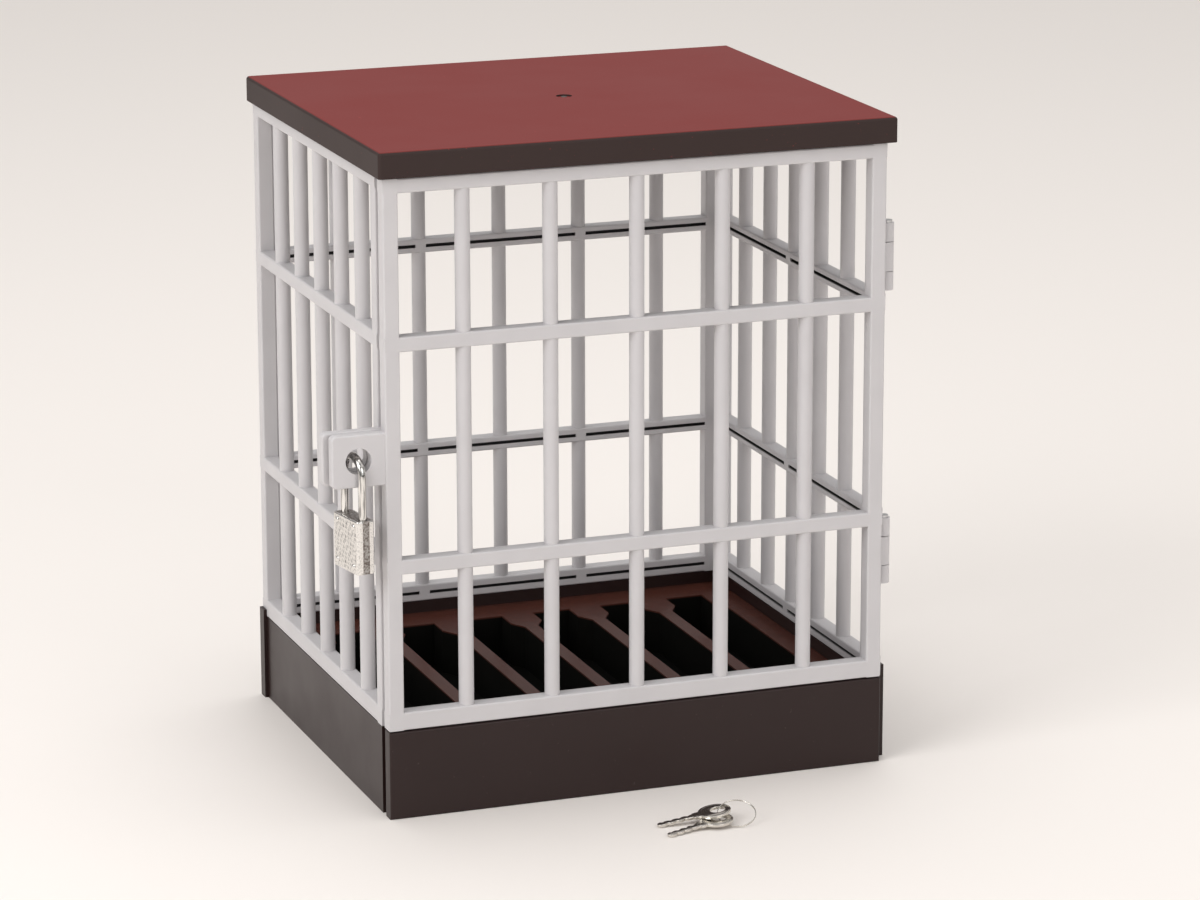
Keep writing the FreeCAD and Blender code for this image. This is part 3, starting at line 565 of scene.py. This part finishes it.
def dull_steel(name, colour, roughness):
    """Rolled steel with a coarse skin."""
    finish = Finish(name, colour, roughness, metallic=1.0)
    coarse = finish.noise(0.6 * MM, detail=4.0)
    finish.tint(finish.span(coarse, 0.38, 0.6, 0.25, 0.95), (0.16, 0.13, 0.115))
    finish.gloss(coarse, roughness - 0.08, roughness + 0.14)
    finish.bump(coarse, 0.5, 0.06 * MM)
    return finish


def case_place():
    """The middle of the case's foot, turned as the padlock hangs."""
    low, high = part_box("padlock_core")
    middle = (low + high) / 2
    return (Matrix.Translation((middle.x, middle.y, low.z))
            @ Matrix.Rotation(settings().lock.turn, 4, "Z"))


def plate_profile(sign, half_thick, half_wide, corner_steps):
    """The section of a case plate, from one flange's edge round its outside to the other, then back inside.

    It gives (x, y, share) points. The share is 1 on the broad face's middle and 0 on corners and flanges.
    """
    sizes = settings().lock
    inner_edge, skin, flange, corner = sizes.channel / 2, sizes.skin, sizes.flange, sizes.corner
    outside = [(inner_edge, -half_wide, 0.0)]
    for step in range(corner_steps + 1):
        angle = math.pi / 2 * step / corner_steps
        outside.append((half_thick - corner + corner * math.sin(angle),
                        -half_wide + corner - corner * math.cos(angle), 0.0))
    flat = half_wide - corner
    for step in range(1, FACE_STEPS):
        y = -flat + 2 * flat * step / FACE_STEPS
        edge = min(1.0, (flat - abs(y)) / MARGIN)
        outside.append((half_thick, y, edge))
    for step in range(corner_steps + 1):
        angle = math.pi / 2 * (1 - step / corner_steps)
        outside.append((half_thick - corner + corner * math.sin(angle),
                        half_wide - corner + corner * math.cos(angle), 0.0))
    outside.append((inner_edge, half_wide, 0.0))
    inside = [(inner_edge, half_wide - flange, 0.0), (half_thick - skin, half_wide - flange, 0.0),
              (half_thick - skin, -half_wide + flange, 0.0), (inner_edge, -half_wide + flange, 0.0)]
    return [(sign * x, y, share) for x, y, share in outside + inside]


def dent(y, z, pitch, depth):
    """Depth of the hammered pattern at a point of the broad face: slanting strokes of uneven depth."""
    wander = WANDER * noise.noise(Vector((y, z, 0)) * WANDER_SCALE)
    across = (z - y) * math.sqrt(0.5) / pitch + wander
    row = math.floor(across)
    along = (y + z) * math.sqrt(0.5) / (STROKE_LENGTH * pitch)
    along += ROW_SHIFTS[0] * (row % 2) + ROW_SHIFTS[1] * (row % 5)
    fall = (across % 1.0 - 0.5) ** 2 * STROKE_FALL[0] + (along % 1.0 - 0.5) ** 2 * STROKE_FALL[1]
    uneven = 0.75 + 0.5 * noise.noise(Vector((y, z, 0)) * DEPTH_SCALE)
    return depth * max(0.0, 1.0 - fall) * uneven


class OBJECT_OT_container_case_plates(bpy.types.Operator):
    """Build the two hammered plates of the padlock's case"""
    bl_idname = "object.container_case_plates"
    bl_label = "Case plates"

    def execute(self, context):
        sizes = settings().lock
        finish = hammered_chrome("case_chrome", sizes.chrome_colour)
        low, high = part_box("padlock_core")
        height = high.z - low.z
        half_thick = sizes.case_thickness / 2
        half_wide = sizes.case_width / 2
        for name, sign in (("left", -1), ("right", 1)):
            profile = plate_profile(sign, half_thick, half_wide, corner_steps=6)
            shape = bmesh.new()
            rows = []
            sinks = []
            levels = list(RIM_LEVELS)
            levels += [MARGIN + (height - 2 * MARGIN) * step / HEIGHT_STEPS
                       for step in range(HEIGHT_STEPS + 1)]
            levels += [height - level for level in reversed(RIM_LEVELS)]
            for z in levels:
                from_end = min(z, height - z)
                rim = max(0.0, RIM_LEVELS[-1] - from_end) / RIM_LEVELS[-1]
                pull = RIM_PULL * rim * rim
                edge = min(1.0, max(0.0, from_end - MARGIN) / MARGIN_FADE)
                row = []
                for x, y, share in profile:
                    sunk = share * edge * dent(y, z, sizes.dent_pitch, sizes.dent_depth)
                    outer = (abs(x) > half_thick - sizes.skin + 1e-6
                             or abs(y) > half_wide - sizes.flange + 1e-6)
                    inset = sunk + (pull if outer else 0.0)
                    if abs(x) > half_thick - sizes.corner:
                        x -= math.copysign(inset, x)
                    if outer and abs(y) > half_wide - sizes.corner:
                        y -= math.copysign(pull, y)
                    row.append(shape.verts.new((x, y, z)))
                    sinks.append(sunk / sizes.dent_depth)
                rows.append(row)
            skin_rows(shape, rows)
            shape.faces.new(rows[0])
            shape.faces.new(rows[-1])
            bmesh.ops.recalc_face_normals(shape, faces=shape.faces)
            bmesh.ops.triangulate(shape, faces=[face for face in shape.faces if len(face.verts) > 4])
            shape.transform(case_place())
            mesh = mesh_from(shape, f"case_{name}_plate")
            mesh.attributes.new("dent", "FLOAT", "POINT").data.foreach_set("value", sinks)
            made = piece(f"case_{name}_plate", mesh, finish, "lock_case")
            sharpen(mesh, 40)
            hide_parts(f"padlock_{name}_plate")
        return {"FINISHED"}


class OBJECT_OT_container_rivets(bpy.types.Operator):
    """Build the domed rivets near the corners of the padlock's broad faces"""
    bl_idname = "object.container_rivets"
    bl_label = "Case rivets"

    def execute(self, context):
        sizes = settings().lock
        low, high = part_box("padlock_core")
        seat = sizes.case_thickness / 2
        radius = sizes.rivet / 2
        profile = []
        dome_steps = 8
        for step in range(dome_steps + 1):
            angle = math.pi / 2 * step / dome_steps
            profile.append((radius * math.sin(angle), seat + sizes.rivet_rise * math.cos(angle)))
        below = seat - sizes.dent_depth
        profile += [(radius, below), (sizes.shank / 2, below), (sizes.shank / 2, seat - sizes.rivet_length),
                    (0.0, seat - sizes.rivet_length)]
        shape = bmesh.new()
        for out in (-1, 1):
            to_x = Matrix.Rotation(out * math.pi / 2, 4, "Y")
            for z in (sizes.rivet_low, high.z - low.z - sizes.rivet_drop):
                for side in (-1, 1):
                    place = Matrix.Translation((0, side * sizes.rivet_side, z))
                    lathe(shape, profile, 28, case_place() @ place @ to_x)
        bmesh.ops.recalc_face_normals(shape, faces=shape.faces)
        mesh = mesh_from(shape, "case_rivets")
        finish = chrome("rivet_chrome", sizes.chrome_colour, 0.16)
        made = piece("case_rivets", mesh, finish, "lock_case")
        sharpen(mesh, 50)
        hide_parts("padlock_rivets")
        return {"FINISHED"}


class OBJECT_OT_container_lock_finish(bpy.types.Operator):
    """Finish the padlock's shackle, core and works, and the hinge pins"""
    bl_idname = "object.container_lock_finish"
    bl_label = "Padlock finish"

    def execute(self, context):
        sizes = settings().lock
        # The shackle gets painted dark reflection streaks.
        dress("padlock_shackle", chrome("shackle_chrome", sizes.chrome_colour, 0.12, painted_reflection_streaks=0.75))
        core = dull_steel("core_steel", sizes.core_colour, 0.40)
        for node in ("padlock_core", "padlock_bolt", "shackle_spring"):
            dress(node, core)
        brass = chrome("plug_brass", sizes.brass_colour, 0.28)
        for node in ("padlock_plug", "plug_wafers"):
            dress(node, brass)
        pins = chrome("pin_wire", sizes.pin_colour, 0.30)
        for node in ("upper_hinge_pin", "lower_hinge_pin"):
            dress(node, pins)
        return {"FINISHED"}


# Keys


KEY_HANGS = (("back", -12, -3), ("front", 25, 16))  # name, degrees round the ring, heading in degrees
BLADE_STEPS = 40  # mesh steps along one edge of a blade
RIM_STEPS = (64, 8)  # mesh steps round the head and round its rim's section
RING_STEPS = 96  # mesh steps of one turn of wire
RING_START = 200  # where the wire starts, in degrees round the ring
RING_LIFT = (0.94, 0.12)  # where the wire rises to its second turn and over how much, in turns


def ring_axes():
    """The ring's middle, its level axis and its sloping axis."""
    sizes = settings().keys
    low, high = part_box("key_ring")
    level = Vector((math.cos(sizes.ring_turn), math.sin(sizes.ring_turn), 0))
    away = Vector((-math.sin(sizes.ring_turn), math.cos(sizes.ring_turn), 0))
    slope = away * math.cos(sizes.ring_tilt) + Vector((0, 0, math.sin(sizes.ring_tilt)))
    return (low + high) / 2, level, slope


def key_place(round_ring, heading):
    """Where a key hangs on the ring with its tip on the table."""
    sizes = settings().keys
    centre, level, slope = ring_axes()
    angle = math.radians(round_ring)
    hole = centre - sizes.ring_radius * (level * math.cos(angle) + slope * math.sin(angle))
    drop = hole.z - sizes.thickness / 2 - sizes.table_play
    dip = math.asin(drop / sizes.blade_reach)
    return (Matrix.Translation(hole) @ Matrix.Rotation(math.radians(heading), 4, "Z")
            @ Matrix.Rotation(-dip, 4, "Y"))


def arc(centre_x, radius, start, end, steps):
    """Points of an arc about a point on the X axis, between two angles in degrees."""
    points = []
    for step in range(steps + 1):
        angle = math.radians(start + (end - start) * step / steps)
        points.append(Vector((centre_x + radius * math.cos(angle), radius * math.sin(angle), 0)))
    return points


def blade_edge(side, phase, inset):
    """One scalloped edge of the blade, from the shoulder out to the tip."""
    sizes = settings().keys
    start = -sizes.shoulder_reach
    stop = -sizes.blade_reach + sizes.blade_width / 2
    half = sizes.blade_width / 2 - inset
    points = []
    for step in range(BLADE_STEPS + 1):
        x = start + (stop - start) * step / BLADE_STEPS
        run = (start - x) / sizes.bit_pitch
        fade = min(1.0, max(0.0, run / 0.5)) * min(1.0, (x - stop) / (0.8 * MM))
        cut = 0.5 - 0.5 * math.cos(2 * math.pi * (run + phase))
        points.append(Vector((x, side * (half - sizes.bit_depth * fade * cut * cut), 0)))
    return points


def key_outline(inset):
    """The key's outline, drawn in by the width of its bevel."""
    sizes = settings().keys
    radius = sizes.head / 2 - inset
    shoulder = sizes.shoulder_width / 2 - inset
    centre = -sizes.hole_shift
    meet = 180 - math.degrees(math.asin(shoulder / radius))
    head = arc(centre, radius, -meet, meet, 72)
    upper = [Vector((-sizes.shoulder_reach + 0.5 * MM, shoulder, 0)),
             Vector((-sizes.shoulder_reach + 0.15 * MM, shoulder - 0.2 * MM, 0))]
    lower = [Vector((point.x, -point.y, 0)) for point in reversed(upper)]
    tip = -sizes.blade_reach + sizes.blade_width / 2
    nose = arc(tip, sizes.blade_width / 2 - inset, 90, 270, 12)[1:-1]
    return (head + upper + blade_edge(1, 0.0, inset) + nose
            + list(reversed(blade_edge(-1, 0.5, inset))) + lower)


def key_mesh(name):
    """A flat stamped key with bevelled edges and a round hole in its head."""
    sizes = settings().keys

    def set_up(data):
        data.dimensions = "2D"
        data.fill_mode = "BOTH"
        data.extrude = sizes.thickness / 2 - sizes.bevel
        data.bevel_depth = sizes.bevel
        data.bevel_resolution = 2

    hole = arc(0.0, sizes.hole / 2 + sizes.bevel, 0, 360, 48)[:-1]
    return curve_mesh(name, [(key_outline(sizes.bevel), True), (hole, True)], set_up)


def add_rim(shape, side):
    """A low rounded bead round the head, on the face above or below."""
    sizes = settings().keys
    radius = sizes.head / 2 - sizes.rim_inset
    round_head, round_section = RIM_STEPS
    rows = []
    for step in range(round_head):
        angle = 2 * math.pi * step / round_head
        row = []
        for around in range(round_section):
            turn = 2 * math.pi * around / round_section
            reach = radius + sizes.rim_width / 2 * math.cos(turn)
            row.append(shape.verts.new((reach * math.cos(angle) - sizes.hole_shift, reach * math.sin(angle),
                                        side * sizes.thickness / 2 + sizes.rim_rise * math.sin(turn))))
        rows.append(row)
    skin_rows(shape, rows, closed_ring=True)


class OBJECT_OT_container_keys(bpy.types.Operator):
    """Build the two stamped keys on the ring"""
    bl_idname = "object.container_keys"
    bl_label = "Keys"

    def execute(self, context):
        sizes = settings().keys
        finish = chrome("key_nickel_finish", sizes.nickel_colour, 0.13, scratch=0.12)
        for name, round_ring, heading in KEY_HANGS:
            mesh = key_mesh(f"stamped_key_{name}")
            shape = bmesh.new()
            shape.from_mesh(mesh)
            bmesh.ops.remove_doubles(shape, verts=shape.verts, dist=0.002 * MM)
            for side in (-1, 1):
                add_rim(shape, side)
            bmesh.ops.recalc_face_normals(shape, faces=shape.faces)
            shape.transform(key_place(round_ring, heading))
            shape.to_mesh(mesh)
            shape.free()
            made = piece(f"stamped_key_{name}", mesh, finish, "key_set")
            sharpen(mesh, 35)
            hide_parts(f"key_{name}")
        return {"FINISHED"}


class OBJECT_OT_container_ring(bpy.types.Operator):
    """Build the split ring: two turns of wire, one on the other"""
    bl_idname = "object.container_ring"
    bl_label = "Split ring"

    def execute(self, context):
        sizes = settings().keys
        centre, level, slope = ring_axes()
        across = level.cross(slope)
        wire = sizes.ring_height / 4
        lift_start, lift_span = RING_LIFT
        points = []
        for step in range(2 * RING_STEPS + 1):
            share = step / RING_STEPS
            angle = 2 * math.pi * share + math.radians(RING_START)
            rise = -wire + 2 * wire * min(1.0, max(0.0, (share - lift_start) / lift_span))
            points.append(centre + sizes.ring_radius * (level * math.cos(angle) + slope * math.sin(angle))
                          + across * rise)

        def set_up(data):
            data.dimensions = "3D"
            data.bevel_depth = wire
            data.bevel_resolution = 4
            data.use_fill_caps = True

        mesh = curve_mesh("split_ring", [(points, False)], set_up)
        finish = chrome("ring_nickel", sizes.nickel_colour, 0.16)
        made = piece("split_ring", mesh, finish, "key_set")
        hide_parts("key_ring")
        return {"FINISHED"}


# Studio


class SCENE_OT_container_studio(bpy.types.Operator):
    """Set up the camera, the pale floor and the soft lamps"""
    bl_idname = "scene.container_studio"
    bl_label = "Studio"

    def execute(self, context):
        studio = settings().studio
        scene = context.scene
        scene.view_settings.view_transform = "Standard"

        camera = bpy.data.objects.new("camera", bpy.data.cameras.new("camera"))
        scene.collection.objects.link(camera)
        camera.data.lens = studio.lens
        camera.data.sensor_width = 36.0
        camera.data.clip_end = 50.0
        sight = Vector(studio.camera_aim) - Vector(studio.camera_place)
        turn = sight.to_track_quat("-Z", "Y").to_matrix().to_4x4()
        camera.matrix_world = (Matrix.Translation(studio.camera_place) @ turn
                               @ Matrix.Rotation(studio.camera_roll, 4, "Z"))
        scene.camera = camera

        shape = bmesh.new()
        bmesh.ops.create_grid(shape, x_segments=2, y_segments=2, size=studio.floor_reach)
        floor = bpy.data.objects.new("floor", mesh_from(shape, "floor"))
        scene.collection.objects.link(floor)
        finish = Finish("floor_card", studio.floor_colour, 0.55)
        finish.bump(finish.noise(3 * MM), 0.1, 0.05 * MM)
        floor.data.materials.append(finish.material)

        world = bpy.data.worlds.new("studio")
        world.use_nodes = True
        tree = world.node_tree
        back = tree.nodes["Background"]
        back.inputs["Color"].default_value = (1.0, 0.985, 0.97, 1.0)
        apart = tree.nodes.new("ShaderNodeSeparateXYZ")
        tree.links.new(tree.nodes.new("ShaderNodeTexCoord").outputs["Generated"], apart.inputs["Vector"])
        rise = tree.nodes.new("ShaderNodeMapRange")
        tree.links.new(apart.outputs["Z"], rise.inputs["Value"])
        for socket, number in (("From Min", 0.05), ("From Max", 0.9), ("To Min", studio.horizon_level),
                               ("To Max", studio.zenith_level)):
            rise.inputs[socket].default_value = number
        tree.links.new(rise.outputs["Result"], back.inputs["Strength"])
        scene.world = world

        aim = Vector((0, 0, 0.09))
        lamps = (
            ("key_lamp", (-1.25, -0.55, 0.95), 0.9, 13.0),
            ("front_lamp", (0.35, -1.7, 0.85), 1.1, 7.0),
            ("top_lamp", (0.1, 0.25, 1.5), 1.0, 6.0),
        )
        for name, place, side, power in lamps:
            data = bpy.data.lights.new(name, "AREA")
            data.shape = "SQUARE"
            data.size = side
            data.energy = power * studio.lamp_level
            lamp = bpy.data.objects.new(name, data)
            scene.collection.objects.link(lamp)
            lamp.location = place
            lamp.rotation_euler = (aim - Vector(place)).to_track_quat("-Z", "Y").to_euler()
        return {"FINISHED"}


OPERATORS = (
    OBJECT_OT_container_grids,
    OBJECT_OT_container_shells,
    OBJECT_OT_container_gate_mark,
    OBJECT_OT_container_lock_finish,
    OBJECT_OT_container_case_plates,
    OBJECT_OT_container_rivets,
    OBJECT_OT_container_keys,
    OBJECT_OT_container_ring,
    SCENE_OT_container_studio,
)


class VIEW3D_PT_container(bpy.types.Panel):
    """Sizes, colours and build steps of the container"""
    bl_label = "Phone container"
    bl_space_type = "VIEW_3D"
    bl_region_type = "UI"
    bl_category = "Container"

    def draw(self, context):
        layout = self.layout
        for group in (settings().plastics, settings().lock, settings().keys, settings().studio):
            box = layout.box()
            for name in group.bl_rna.properties.keys():
                if name not in ("rna_type", "name"):
                    box.prop(group, name)
        for operator in OPERATORS:
            layout.operator(operator.bl_idname)


CLASSES = (ContainerPlastics, ContainerLock, ContainerKeys, ContainerStudio, ContainerSettings,
           *OPERATORS, VIEW3D_PT_container)


def register():
    for item in CLASSES:
        bpy.utils.register_class(item)
    bpy.types.Scene.container = PointerProperty(type=ContainerSettings)


def unregister():
    del bpy.types.Scene.container
    for item in reversed(CLASSES):
        bpy.utils.unregister_class(item)


def main():
    register()
    for operator in OPERATORS:
        group, name = operator.bl_idname.split(".")
        getattr(getattr(bpy.ops, group), name)()


if __name__ == "__main__":
    main()
